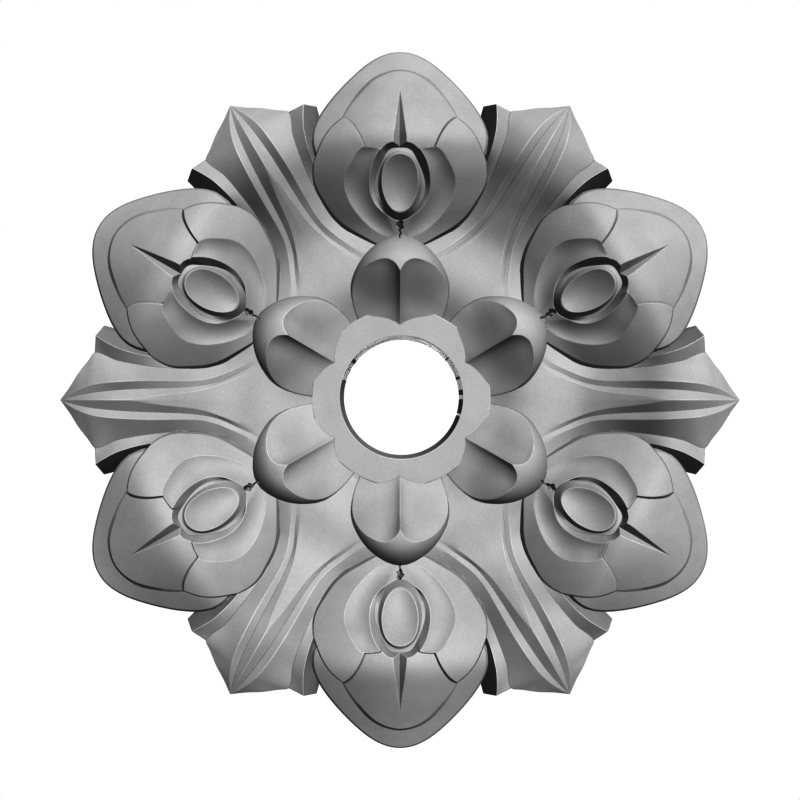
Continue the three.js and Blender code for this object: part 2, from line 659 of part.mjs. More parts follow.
function rosette() {
  const hub = post(HUB_RADIUS, 0, 0, BELOW_BACK, HUB_FACE);
  const ring = post(RING_RADIUS, HOLE_OFFSET.x, HOLE_OFFSET.y, BELOW_BACK, RING_FACE);
  const hole = post(HOLE_RADIUS, HOLE_OFFSET.x, HOLE_OFFSET.y, -ABOVE_ALL, ABOVE_ALL);
  const slab = new THREE.BoxGeometry(4 * BUD_TIP_RADIUS, 4 * BUD_TIP_RADIUS, ABOVE_ALL);
  const behind = solidOf(slab.translate(0, 0, -ABOVE_ALL / 2));
  return around(leaf(), SECTOR / 2)
    .add(around(bud(), 0))
    .add(around(petalBody().subtract(gouge()), 0))
    .add(ring)
    .add(hub)
    .subtract(around(nick(), 0))
    .subtract(hole)
    .subtract(behind);
}

// Puts the carving upright: across stays X, outward becomes +Z and the face looks along -Y.
function upright(solid) {
  const geometry = geometryOf(solid).rotateX(Math.PI / 2);
  geometry.computeVertexNormals();
  return geometry;
}

const plaster = new THREE.MeshStandardMaterial({ color: 0xb4b4b4, roughness: 0.72, metalness: 0 });
const piece = new THREE.Mesh(upright(rosette()), plaster);
piece.name = "rosette";
const group = new THREE.Group();
group.add(piece);

export default group;
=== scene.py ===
"""Carved rosette: the fine carved surface, its stone finish and the studio it is seen in."""
import math

import bpy
import numpy as np
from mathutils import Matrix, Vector


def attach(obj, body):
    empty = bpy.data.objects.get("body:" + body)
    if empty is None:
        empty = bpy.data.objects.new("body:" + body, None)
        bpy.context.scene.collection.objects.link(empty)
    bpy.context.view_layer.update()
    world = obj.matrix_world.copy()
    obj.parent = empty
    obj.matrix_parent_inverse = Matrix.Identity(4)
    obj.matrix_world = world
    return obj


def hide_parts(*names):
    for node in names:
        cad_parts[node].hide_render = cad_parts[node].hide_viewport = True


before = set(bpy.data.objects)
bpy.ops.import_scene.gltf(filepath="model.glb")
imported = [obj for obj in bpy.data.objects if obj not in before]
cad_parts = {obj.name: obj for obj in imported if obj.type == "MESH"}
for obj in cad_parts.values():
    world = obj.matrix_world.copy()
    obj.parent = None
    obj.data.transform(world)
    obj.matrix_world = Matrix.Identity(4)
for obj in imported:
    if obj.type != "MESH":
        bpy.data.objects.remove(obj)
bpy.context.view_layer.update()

# Sizes in millimetres, laid out as on the solid: x across, y outward, z height above the back
MM = 0.001
COUNT = 6
BUD_TIP_RADIUS = 151.5
LEAF_TIP_RADIUS = 145.2
BELOW_BACK = -4
ABOVE_ALL = 90

RING_FACE = 34.5
RING_RADIUS = 39.5
HOLE_RADIUS = 27.3
HOLE_OFFSET = (0.65, 1.2)
HUB_RADIUS = 44
HUB_FACE = 30

PETAL_END = 72.3
PETAL_ROOT = 31
PETAL_CREST = (57.5, 56.4)
PETAL_HALF_WIDTH = 21.6
PETAL_WIDEST = 49.6
PETAL_ROOT_HALF_WIDTH = 16.5
PETAL_POINTEDNESS = 1.65
PETAL_FALL_OUT = 0.045
PETAL_FALL_IN = 0.0165
PETAL_FALL_ACROSS = 0.026
PETAL_TURN_FROM = 0.6
PETAL_TURN_DEPTH = 6
GOUGE_RIDGE = [
    (28, 31.6), (33.4, 34.5), (38, 38.4), (43.7, 43.6), (49, 49.4), (53.2, 54.3), (57, 59), (63, 67),
]
GOUGE_MIDDLE = [
    (28, 29.2), (35.6, 33.7), (40, 36.1), (44.1, 39), (47, 41.6), (50, 44.5), (53, 47.4), (56, 50),
    (58.2, 51.8), (60.6, 54.2), (63, 57.6),
]
GOUGE_SIDE = [
    (28, 27.4), (35.7, 32.9), (40, 35.4), (44, 38), (47, 40.1), (50, 42.4), (53, 44.7), (56, 46.8),
    (58.5, 48.6), (63, 53),
]
GOUGE_ACROSS = [(1.2, 0.33), (3, 0.62), (6, 0.86)]
GOUGE_MIDDLE_X = 10.4
GOUGE_SIDE_X = 17.5
GOUGE_BEYOND = dict(x=6, share=1.4)
GOUGE_STATIONS = [28, 50, 63]

BUD_MIDDLE = (0, 105)
BUD_PROFILE = [
    (64, 36.8), (72, 41.3), (76, 44.3), (82.2, 50.4), (89.6, 57.2), (96.8, 63), (104, 67), (107.9, 68.25),
    (110.5, 68.35), (116.5, 66.4), (121.2, 63.8), (131.1, 57.7), (141.4, 51.3), (153, 44.9),
]
BAND = dict(drop=3.8, fall_across=0.0079)
CORE = dict(drop=0.6, fall_across=0.0125)
SEPAL = dict(drop=-1, fall_across=0.0086)
BAND_SIDE = [
    (0, BUD_TIP_RADIUS), (3.8, 151.1), (7.4, 149.9), (10.7, 148.1), (13.8, 145.9), (19.2, 140.9),
    (23.8, 135.9), (28, 130.7), (31.7, 125.4), (34.5, 120.3), (36.2, 115.6), (36.7, 111.4), (36.2, 107.2),
    (34.6, 102.6), (31, 95), (25, 84), (14, 72), (0, 67),
]
CORE_SIDE = [
    (0, 140.9), (3.2, 140.5), (6.3, 139.5), (10.5, 137.1), (14.8, 132.8), (19, 127.5), (23.3, 120.8),
    (26, 114.5), (27.5, 106), (26.5, 96), (22, 84), (12, 73), (0, 69),
]
SEPAL_OUTER = [(23.8, 118.3), (28.6, 114.3), (32.7, 108.7), (35, 104.2), (36.6, 100.9)]
SEPAL_UNDER = [
    (36.6, 100.9), (37, 97.2), (36.6, 93.2), (32.9, 86.2), (29, 80.8), (23.7, 76.2), (17.2, 72.4), (9, 68),
    (-1.5, 64.5),
]
SEPAL_INNER = [(14.8, 104.9), (16.5, 108.8), (18.9, 113), (21.2, 116), (23.8, 118.3)]
SEPAL_TOP = [(-1.5, 101), (5.6, 103.2), (9.1, 104.2), (14.8, 104.9)]
SEPAL_MIDDLE = (20, 98)
BAND_WALL = dict(run_at_tip=1.1, run_at_side=1.1, more_inward=0, drop=2.4)
CORE_WALL = dict(run_at_tip=1.7, run_at_side=2.2, more_inward=0, drop=3.6)
SEPAL_WALL = dict(run_at_tip=1.7, run_at_side=1.0, more_inward=1.5, drop=5.2)
SPIKE = dict(start=105.5, wide_at=108.6, end=131.8, half_width=2.8, depth=4.8, spread=1.3)

EYE_Y = 91.6
DISH_EDGE_Z = 57
DISH_TILT = 0.62
DISH_DEPTH = 3.35
DISH_RADIUS = [(-90, 11.1), (-58, 9.5), (-28, 8.05), (0, 7.8), (28, 8.5), (57, 10.2), (90, 11.1)]
TROUGH_RADIUS = [(-90, 13.3), (-56, 12.2), (-24, 10.5), (3, 10.1), (30, 10.6), (58, 12), (90, 13.4)]
FOOT_RADIUS = [
    (-90, 13.5), (-56, 12.4), (-24, 11.3), (3, 10.9), (30, 10.9), (58, 12.6), (70, 14.1), (90, 14.2),
]
RIM_RADIUS = [
    (-90, 14.3), (-74, 13.5), (-43, 12.95), (-16, 13), (10, 12.9), (24, 13.2), (40, 13.9), (56, 14.7),
    (70, 15.5), (90, 15.3),
]
FLANK_DROP = [(-90, 6.6), (-60, 6), (-30, 4.8), (0, 3.7), (30, 2.8), (60, 2), (90, 1.8)]
COLLAR_RADIUS = [
    (-90, 21.6), (-76, 21.2), (-42, 21), (-13.6, 22.9), (3, 23.7), (23.5, 21.9), (42.4, 20), (50, 17.6),
    (57, 15.3),
]
COLLAR_END = 57
COLLAR_SLOPE_IN = -0.6
COLLAR_SLOPE_OUT = [(-90, 0), (-60, 0.65), (-30, 1.1), (0, 1), (30, 0.95), (45, 0.9), (57, 0.9)]
COLLAR_OVERRUN = dict(out=0.3, up=0.6)
LIP_LIFT = 0.2
LEAST_STEP = 0.05
FLANK_STEEP_RUN = 0.55
FLANK_STEEP_SHARE = 0.92
FLANK_STRAIGHT = dict(start=-20, over=40)
NICK_LINE = [
    (0, 70), (-0.2, 71.6), (0.2, 72.9), (-0.2, 74), (0.3, 74.9), (-0.3, 75.9), (0.25, 76.9), (0.1, 78.2),
]
NICK_HALF_WIDTH = [(70, 0.25), (72.6, 0.3), (73.8, 0.5), (74.8, 1.2), (76, 1.45), (77.2, 1), (78.2, 0.2)]
NICK_DEPTH = 6
NICK_LEAST = 0.15
NICK_SPREAD = 1.2
NICK_RISE = 1

LEAF_PROFILE = [
    (36, 28), (41, 30.6), (47, 34.4), (52.6, 37.4), (57, 38.6), (61.4, 39), (65.7, 38.9), (70, 38.8),
    (74.3, 39.1), (78.6, 40), (82.7, 41.8), (86.9, 44.4), (91, 47.3), (95, 50.4), (99.1, 53.9), (103.1, 57.4),
    (107, 60.8), (110.8, 63.4), (114.7, 64.8), (119, 65), (123.5, 64.2), (128, 62.7), (132.6, 60.6),
    (137.9, 57.4), (LEAF_TIP_RADIUS, 52),
]
FIELD_X = [
    (36, 9), (57, 18), (62.4, 14.9), (69.4, 11), (78.1, 7.3), (85, 4.7), (94.7, 2.9), (103.6, 1.7),
    (112, 0),
]
FIELD_DROP = 0.3
VALLEY_X = [
    (36, 11), (57, 20.5), (62.4, 16.4), (70.4, 12.4), (78.1, 8.8), (88.5, 6.2), (98.1, 5.4), (110.4, 4.8),
    (124, 3.8), (135.6, 2.2), (LEAF_TIP_RADIUS, 0),
]
VALLEY_DROP = [
    (36, 0), (60, 0.2), (70.4, 1.2), (78.1, 1.9), (88.5, 2.2), (98.1, 3.2), (110.4, 4), (124, 2.8),
    (135.6, 1.1), (LEAF_TIP_RADIUS, 0),
]
RIDGE_X = [
    (36, 13), (57, 23), (64, 18.3), (75.6, 12.4), (83.1, 9.5), (91.9, 8.4), (103.9, 8.3), (116.2, 7.7),
    (129, 6.3), (137, 3.9), (LEAF_TIP_RADIUS, 0),
]
RIDGE_DROP = [
    (36, 0), (60, -0.2), (75.6, 1), (83.1, 1.3), (91.9, 1.6), (103.9, 1.7), (116.2, 0.9), (129, 0.4),
    (137, 0.1), (LEAF_TIP_RADIUS, 0),
]
SHOULDER = 129.7
OUTER_VALLEY_X = [
    (36, 16), (57, 29), (64.7, 24.7), (70.5, 22), (78.5, 17.6), (87, 14.6), (94.9, 13.6), (102.1, 14),
    (111.3, 15.2), (119.4, 16.8), (SHOULDER, 20.4), (132.6, 16.6), (136.6, 11.4), (140.6, 5.4),
    (LEAF_TIP_RADIUS, 0),
]
OUTER_VALLEY_DROP = [
    (36, 0), (60, 0.4), (64.7, 1.2), (70.5, 2.8), (78.5, 4.6), (87, 5.3), (94.9, 6.2), (102.1, 7.4),
    (111.3, 7.7), (119.4, 7.9), (SHOULDER, 7.4), (132.6, 5.9), (136.6, 3.3), (140.6, 1.4),
    (LEAF_TIP_RADIUS, 0),
]
STRIP_START = 105.8
STRIP_EDGE_X = [
    (60, 34), (72, 27), (90, 18), (100, 18), (STRIP_START, 18.6), (110.6, 19.5), (118.5, 21.9), (124, 24.3),
    (SHOULDER, 27.2),
]
STRIP_EDGE_DROP = [
    (60, 1), (90, 8), (100, 7.4), (STRIP_START, 5.9), (110.6, 4.3), (118.5, 3.8), (SHOULDER, 3.3),
]
WALL_FOOT_X = [
    (60, 36), (72, 33), (90, 24), (100, 22), (STRIP_START, 21.6), (110.6, 23.2), (118, 27), (124, 30.1),
    (SHOULDER, 32.6),
]
WALL_FOOT_Z = 40
WALL_LEAST = 0.4
WALL_FROM = 72
ROUND_INSIDE = dict(full=62, none=76)
END_SLANT = dict(start=118, rate=0.215)
END_LEAN = 1.4
LEAF_NAMED = [36, 57, WALL_FROM, 90, 100, STRIP_START, END_SLANT["start"], SHOULDER]

# What is cut off behind the flat back, and the least size of a cut that fades to a point
SLAB_HALF = 300
SLAB_DEPTH = 40
THIN = 0.02

# Fineness of the carved surface
LEAF_STATIONS = 85
LEAF_END_STATIONS = 15
LEAF_BETWEEN = 5
OUTLINE_STEP = 1.3
BUD_RINGS = 16
SPIKE_STEPS = 30
NICK_STEP = 0.35
EYE_AROUND = 144
DISH_RINGS = 7
FLANK_RINGS = 5
COLLAR_RINGS = 8
PETAL_STATIONS = 34
PETAL_ACROSS = 16
GOUGE_STEPS = 50
GOUGE_COLUMNS = 26
GOUGE_CROWDING = 1.3
ROUND_SIDES = 180
SHARP_ANGLE = math.radians(24)

# Stone finish: tones are shares of white; a noise has a scale per metre, a detail and a roughness
BASE_TONE = 0.42
CLOUD_TONE = 0.09
PATCH_TONE = 0.04
GRAIN_TONE = 0.11
# Painted highlight: how much paler the carved ridges are made
RIDGE_HIGHLIGHT_TONE = 0.3
# Painted shade: how much darker the carved hollows are made
HOLLOW_SHADE_TONE = 0.24
# Breaks the painted ridge highlight into patches
HIGHLIGHT_PATCHES = dict(gain=1.4, offset=-0.2)
BASE_ROUGHNESS = 0.7
CLOUD_ROUGHNESS = 0.3
# Roughness change where the ridge highlight is painted
RIDGE_ROUGHNESS = -0.08
GRAIN_NOISE = (1300, 3, 0.7)
CLOUD_NOISE = (70, 4, 0.55)
PATCH_NOISE = (14, 2, 0.5)
TOOL_SCALE = 75
TOOL_SHARE = 0.5
BUMP_STRENGTH = 0.5
BUMP_DEPTH = 0.00012
EDGE_RADIUS = 0.0007
EDGE_SAMPLES = 6
EDGE_GAIN = 14.0
CREASE_ANGLE = math.radians(20)

# Studio: distances in metres, the lens and its sensor in millimetres, tones as shares of white
CAMERA_DISTANCE = 0.527
LENS = 50
SENSOR_WIDTH = 36
FLOOR_HALF = 2
FLOOR_Z = -1.4
FLOOR_TONE = 0.85
FLOOR_ROUGHNESS = 0.9
KEY_OFF_AXIS = math.radians(27.5)
KEY_CLOCK = math.radians(30)
KEY_ENERGY = 5
KEY_SPREAD = math.radians(12)
BACK_ENERGY = 2.6
GLOW = 0.177
WHITE = (1, 1, 1, 1)


def through(knots):
    """A smooth curve through knots (at, value) that never swings past them."""
    at = [k[0] for k in knots]
    value = [k[1] for k in knots]
    last = len(knots) - 1
    rise = [(value[i + 1] - value[i]) / (at[i + 1] - at[i]) for i in range(last)]
    slope = [rise[0]]
    for i in range(1, last):
        a, b = rise[i - 1], rise[i]
        slope.append(0.0 if a * b <= 0 else 2 * a * b / (a + b))
    slope.append(rise[-1])

    def curve(x):
        if x <= at[0]:
            return value[0]
        if x >= at[-1]:
            return value[-1]
        i = 0
        while x > at[i + 1]:
            i += 1
        span = at[i + 1] - at[i]
        s = (x - at[i]) / span
        s2, s3 = s * s, s * s * s
        return (
            (2 * s3 - 3 * s2 + 1) * value[i]
            + (s3 - 2 * s2 + s) * span * slope[i]
            + (3 * s2 - 2 * s3) * value[i + 1]
            + (s3 - s2) * span * slope[i + 1]
        )

    return curve


def smooth(knots):
    """A curve through knots with an even bend from knot to knot."""
    at = np.array([k[0] for k in knots], float)
    value = np.array([k[1] for k in knots], float)
    span = np.diff(at)
    rise = np.diff(value) / span
    n = len(at)
    system = np.zeros((n, n))
    known = np.zeros(n)
    system[0, 0] = system[-1, -1] = 1
    for i in range(1, n - 1):
        system[i, i - 1] = span[i - 1]
        system[i, i] = 2 * (span[i - 1] + span[i])
        system[i, i + 1] = span[i]
        known[i] = 6 * (rise[i] - rise[i - 1])
    bend = np.linalg.solve(system, known)

    def curve(x):
        x = min(max(x, at[0]), at[-1])
        i = min(int(np.searchsorted(at, x, side="right")) - 1, n - 2)
        a, b, h = at[i + 1] - x, x - at[i], span[i]
        return float(
            (bend[i] * a**3 + bend[i + 1] * b**3) / (6 * h)
            + (value[i] / h - bend[i] * h / 6) * a
            + (value[i + 1] / h - bend[i + 1] * h / 6) * b
        )

    return curve


def around(knots):
    """A smooth curve over the up angle, even where it passes the lowest and the highest point."""
    low = [(-180 - a, v) for a, v in knots[3:0:-1]]
    high = [(180 - a, v) for a, v in knots[-2:-5:-1]]
    return smooth(low + knots + high)


def along(points, step):
    """Even points on a smooth curve through the given ones."""
    length = [0]
    for a, b in zip(points, points[1:]):
        length.append(length[-1] + math.dist(a, b))
    x_at = smooth([(s, p[0]) for s, p in zip(length, points)])
    y_at = smooth([(s, p[1]) for s, p in zip(length, points)])
    count = max(2, round(length[-1] / step))
    return [(x_at(length[-1] * k / count), y_at(length[-1] * k / count)) for k in range(count + 1)]


def closed_outline(runs):
    """Smooth runs joined at their corners into one closed line."""
    out = []
    for run in runs:
        out += along(run, OUTLINE_STEP)[:-1]
    return out


def stations(named, steps):
    """Every named station, with even steps between."""
    step = (named[-1] - named[0]) / steps
    out = []
    for a, b in zip(named, named[1:]):
        parts = max(1, round((b - a) / step))
        out += [a + (b - a) * k / parts for k in range(parts)]
    return out + [named[-1]]


def solid(name, rows, level, closed_rows=False):
    """A closed mesh object between a grid of points and a flat level above or below it."""
    places, known, faces = [], {}, []

    def add(x, y, z):
        key = (round(x, 4), round(y, 4), round(z, 4))
        if key not in known:
            known[key] = len(places)
            places.append((x * MM, y * MM, z * MM))
        return known[key]

    def face(*corners):
        kept = [c for i, c in enumerate(corners) if c != corners[i - 1]]
        if len(set(kept)) >= 3:
            faces.append(kept)

    top = [[add(*p) for p in row] for row in rows]
    flat = [[add(p[0], p[1], level) for p in row] for row in rows]
    wide = len(rows[0])
    across = wide if closed_rows else wide - 1
    end = len(rows) - 1
    for i in range(end):
        for j in range(across):
            k = (j + 1) % wide
            face(top[i][j], top[i][k], top[i + 1][k])
            face(top[i][j], top[i + 1][k], top[i + 1][j])
            face(flat[i][j], flat[i + 1][k], flat[i][k])
            face(flat[i][j], flat[i + 1][j], flat[i + 1][k])
    for j in range(across):
        k = (j + 1) % wide
        if not closed_rows:
            face(top[0][j], flat[0][j], flat[0][k])
            face(top[0][j], flat[0][k], top[0][k])
        face(top[end][k], flat[end][k], flat[end][j])
        face(top[end][k], flat[end][j], top[end][j])
    if not closed_rows:
        for i in range(end):
            face(top[i + 1][0], flat[i + 1][0], flat[i][0])
            face(top[i + 1][0], flat[i][0], top[i][0])
            face(top[i][-1], flat[i][-1], flat[i + 1][-1])
            face(top[i][-1], flat[i + 1][-1], top[i + 1][-1])
    if (level > rows[0][0][2]) != closed_rows:
        faces = [f[::-1] for f in faces]
    return mesh_object(name, places, faces)


def mesh_object(name, places, faces):
    """A mesh object in the scene, from points in metres and faces."""
    mesh = bpy.data.meshes.new(name)
    mesh.from_pydata(places, [], faces)
    mesh.validate()
    made = bpy.data.objects.new(name, mesh)
    bpy.context.scene.collection.objects.link(made)
    return made


def prism(name, outline, low, high):
    """A straight block between two levels; the outline runs anticlockwise."""
    n = len(outline)
    places = [(x * MM, y * MM, z * MM) for z in (low, high) for x, y in outline]
    faces = [list(range(n))[::-1], list(range(n, 2 * n))]
    faces += [[i, (i + 1) % n, n + (i + 1) % n, n + i] for i in range(n)]
    return mesh_object(name, places, faces)


def mirrored(half):
    """A row across the whole width, from its right half."""
    return [(-x, y, z) for x, y, z in half[:0:-1]] + half


def filled(row, between):
    """A row with more points on each straight run between its crease points."""
    out = []
    for a, b in zip(row, row[1:]):
        for k in range(between):
            s = k / between
            out.append(tuple(p + (q - p) * s for p, q in zip(a, b)))
    return out + [row[-1]]


leaf_height = smooth(LEAF_PROFILE)
field_x, valley_x, valley_drop = smooth(FIELD_X), smooth(VALLEY_X), smooth(VALLEY_DROP)
ridge_x, ridge_drop = smooth(RIDGE_X), smooth(RIDGE_DROP)
outer_x, outer_drop = through(OUTER_VALLEY_X), through(OUTER_VALLEY_DROP)
strip_x, strip_drop, foot_x = through(STRIP_EDGE_X), through(STRIP_EDGE_DROP), through(WALL_FOOT_X)


def leaf_z(x, station):
    """Height of the leaf's face: it follows the radius near the flower and the station further out."""
    near, far = ROUND_INSIDE["full"], ROUND_INSIDE["none"]
    share = min(1, max(0, (far - station) / (far - near)))
    return leaf_height(station + (math.hypot(x, station) - station) * share)


def leaf_row(station, past_shoulder):
    """One row across the leaf: ridges, valleys, strip and the foot of its wall."""
    outer = outer_x(station)

    def point(x, drop):
        return (x, station, leaf_z(x, station) - drop)

    row = [
        point(0, 0),
        point(field_x(station), FIELD_DROP * min(1, field_x(station))),
        point(valley_x(station), valley_drop(station)),
        point(ridge_x(station), ridge_drop(station)),
        point(outer, outer_drop(station)),
    ]
    if past_shoulder:
        row += [row[4], row[4]]
    else:
        ended = min(1, max(0, (station - END_SLANT["start"]) / (SHOULDER - END_SLANT["start"])))
        edge, foot = strip_x(station), foot_x(station)
        hidden = station < WALL_FROM
        height = row[4][2] - WALL_LEAST if hidden else leaf_z(0, station) - strip_drop(station)
        back = station - END_SLANT["rate"] * ended * (edge - outer)
        row.append((edge, back, height))
        row.append((foot, back + END_LEAN * ended, min(WALL_FOOT_Z, height - WALL_LEAST)))
    return mirrored(filled(row, LEAF_BETWEEN))


def leaf():
    """The leaf from under the flower out to its point."""
    rows = [leaf_row(s, False) for s in stations(LEAF_NAMED, LEAF_STATIONS)]
    tip = stations([SHOULDER, LEAF_TIP_RADIUS], LEAF_END_STATIONS)
    rows += [leaf_row(s, True) for s in tip]
    return solid("leaf", rows, BELOW_BACK)


bud_height = smooth(BUD_PROFILE)


def dome(x, y, layer):
    """Height of one layer of the bud, as if its face ran on under the others."""
    return bud_height(y) - layer["fall_across"] * x * x - layer["drop"]


def outward(outline, i):
    """The direction away from an anticlockwise outline at one of its points."""
    a, b = outline[i - 1], outline[(i + 1) % len(outline)]
    size = math.dist(a, b)
    return (b[1] - a[1]) / size, (a[0] - b[0]) / size


def bud_layer(name, outline, middle, layer, wall):
    """A layer of the bud: its domed face out to the outline, a steep wall, then straight down."""
    rings = []
    for k in range(BUD_RINGS + 1):
        share = math.sin(k / BUD_RINGS * math.pi / 2)
        ring = []
        for x, y in outline:
            px, py = middle[0] + (x - middle[0]) * share, middle[1] + (y - middle[1]) * share
            ring.append((px, py, dome(px, py, layer)))
        rings.append(ring)
    foot = []
    for i, (x, y, z) in enumerate(rings[-1]):
        nx, ny = outward(outline, i)
        run = wall["run_at_side"] + (wall["run_at_tip"] - wall["run_at_side"]) * max(0, ny) ** 2
        if nx * middle[0] < 0:
            run += wall["more_inward"] * abs(nx) * max(0, ny)
        foot.append((x + nx * run, y + ny * run, z - wall["drop"]))
    rings.append(foot)
    return solid(name, rings, BELOW_BACK, closed_rows=True)


def both_sides(half):
    """An anticlockwise outline from its right half, given from the tip down to the root."""
    left = [(-x, y) for x, y in half[1:-1]]
    whole = half[::-1] + left
    return closed_outline([whole + [whole[0]]])


def sepal(name, side):
    """A raised sepal of the bud; side is 1 on the right and -1 on the left."""
    curved = [line[::-1] for line in (SEPAL_UNDER, SEPAL_OUTER, SEPAL_INNER, SEPAL_TOP)]
    outline = closed_outline(curved + [[SEPAL_TOP[0], SEPAL_UNDER[-1]]])
    if side < 0:
        outline = [(-x, y) for x, y in outline[::-1]]
    return bud_layer(name, outline, (side * SEPAL_MIDDLE[0], SEPAL_MIDDLE[1]), SEPAL, SEPAL_WALL)


def spike():
    """The V-shaped groove that runs from the eye out to a point."""
    rows = []
    for y in stations([SPIKE["start"], SPIKE["wide_at"], SPIKE["end"]], SPIKE_STEPS):
        share = 1 if y < SPIKE["wide_at"] else (SPIKE["end"] - y) / (SPIKE["end"] - SPIKE["wide_at"])
        wide = max(THIN, SPIKE["half_width"] * share)
        deep = max(THIN, SPIKE["depth"] * share)
        half = [(s * wide, y, dome(s * wide, y, CORE) + deep * (s - 1)) for s in (0, SPIKE["spread"])]
        rows.append(mirrored(half))
    return solid("spike", rows, ABOVE_ALL)


def crack():
    """The wavy nick at the root of the bud: a narrow deep V along a bent line."""
    half_width = smooth(NICK_HALF_WIDTH)
    rows = []
    for x, y in along(NICK_LINE, NICK_STEP):
        wide = NICK_SPREAD * max(NICK_LEAST, half_width(y))
        top = dome(x, y, SEPAL)
        lip = top + NICK_RISE
        rows.append([(x - wide, y, lip), (x, y, top - NICK_DEPTH), (x + wide, y, lip)])
    return solid("nick", rows, ABOVE_ALL)


def flank_fall(share, up):
    """Share of the flank's drop: steep and then level beside the dish, straight below it."""
    if share < FLANK_STEEP_RUN:
        bent = share / FLANK_STEEP_RUN * FLANK_STEEP_SHARE
    else:
        bent = 1 - (1 - share) / (1 - FLANK_STEEP_RUN) * (1 - FLANK_STEEP_SHARE)
    straight = min(1, max(0, (FLANK_STRAIGHT["start"] - up) / FLANK_STRAIGHT["over"]))
    return bent + (share - bent) * straight


def eye():
    """The eye as one cut: dish, flank, trough, wall up to the rim, then the cove of the collar."""
    dish_at, trough_at, foot_at = around(DISH_RADIUS), around(TROUGH_RADIUS), around(FOOT_RADIUS)
    rim_at, drop_at = around(RIM_RADIUS), around(FLANK_DROP)
    collar_at, slope_at = smooth(COLLAR_RADIUS), smooth(COLLAR_SLOPE_OUT)
    columns = []
    for k in range(EYE_AROUND):
        turn = 2 * math.pi * (k + 0.5) / EYE_AROUND
        c, s = math.cos(turn), math.sin(turn)
        up = math.degrees(math.asin(s))
        dish, trough, foot, rim = dish_at(up), trough_at(up), foot_at(up), rim_at(up)
        foot = max(foot, trough + LEAST_STEP)
        rim = max(rim, foot + LEAST_STEP)
        ended = up > COLLAR_END
        width = 2 * LEAST_STEP if ended else max(2 * LEAST_STEP, collar_at(up) - rim)
        steep = slope_at(up)
        layer, lift = (CORE, LIP_LIFT) if ended else (SEPAL, 0)

        def surface(r):
            return dome(r * c, EYE_Y + r * s, layer) + lift

        def cove(share):
            if ended:
                return 0
            whole = COLLAR_SLOPE_IN + (steep - COLLAR_SLOPE_IN) / 2
            part = COLLAR_SLOPE_IN * share + (steep - COLLAR_SLOPE_IN) * share * share / 2
            return width * (part - whole)

        edge_z = DISH_EDGE_Z + DISH_TILT * dish * s
        low_z = min(edge_z - drop_at(up), surface(rim) + cove(0))
        points = [(0, DISH_EDGE_Z - DISH_DEPTH)]
        for j in range(1, DISH_RINGS + 1):
            share = j / DISH_RINGS
            hollow = DISH_DEPTH * (1 - share * share)
            points.append((dish * share, DISH_EDGE_Z + DISH_TILT * dish * share * s - hollow))
        for j in range(1, FLANK_RINGS + 1):
            share = j / FLANK_RINGS
            fall = flank_fall(share, up)
            points.append((dish + (trough - dish) * share, edge_z - (edge_z - low_z) * fall))
        points.append((foot, low_z))
        points.append(((foot + rim) / 2, (low_z + surface(rim) + cove(0)) / 2))
        for j in range(COLLAR_RINGS + 1):
            share = j / COLLAR_RINGS
            r = rim + width * share
            points.append((r, surface(r) + cove(share) + (THIN if share == 1 else 0)))
        points.append((points[-1][0] + COLLAR_OVERRUN["out"], points[-1][1] + COLLAR_OVERRUN["up"]))
        columns.append([(r * c, EYE_Y + r * s, z) for r, z in points])
    rings = [list(ring) for ring in zip(*columns)]
    return solid("eye", rings, ABOVE_ALL, closed_rows=True)


def petal_half_width(y):
    """Half the petal's width: widening from the root, then closing to a blunt point."""
    if y <= PETAL_WIDEST:
        s = (y - PETAL_ROOT) / (PETAL_WIDEST - PETAL_ROOT)
        return PETAL_ROOT_HALF_WIDTH + (PETAL_HALF_WIDTH - PETAL_ROOT_HALF_WIDTH) * math.sin(s * math.pi / 2)
    s = (y - PETAL_WIDEST) / (PETAL_END - PETAL_WIDEST)
    return PETAL_HALF_WIDTH * max(0, 1 - s**PETAL_POINTEDNESS) ** (1 / PETAL_POINTEDNESS)


def petal_z(x, y, edge):
    """Height of the petal's dome; edge runs from 0 in the middle to 1 at the outline."""
    away = y - PETAL_CREST[0]
    fall = PETAL_FALL_OUT if away > 0 else PETAL_FALL_IN
    turn = max(0, edge - PETAL_TURN_FROM) / (1 - PETAL_TURN_FROM)
    rolled = PETAL_TURN_DEPTH * (1 - math.sqrt(max(0, 1 - turn * turn)))
    return PETAL_CREST[1] - fall * away * away - PETAL_FALL_ACROSS * x * x - rolled


def petal():
    """One domed petal of the flower, before it is gouged."""
    rows = []
    for i in range(PETAL_STATIONS + 1):
        y = PETAL_ROOT + (PETAL_END - PETAL_ROOT) * math.sin(i / PETAL_STATIONS * math.pi / 2)
        wide = petal_half_width(y)
        reach = max(0, (y - PETAL_WIDEST) / (PETAL_END - PETAL_WIDEST))
        row = []
        for j in range(-PETAL_ACROSS, PETAL_ACROSS + 1):
            x = wide * math.sin(j / PETAL_ACROSS * math.pi / 2)
            across = abs(x) / PETAL_HALF_WIDTH if reach > 0 else abs(x) / wide
            edge = (across**PETAL_POINTEDNESS + reach**PETAL_POINTEDNESS) ** (1 / PETAL_POINTEDNESS)
            row.append((x, y, petal_z(x, y, min(1, edge))))
        rows.append(row)
    return solid("petal", rows, BELOW_BACK)


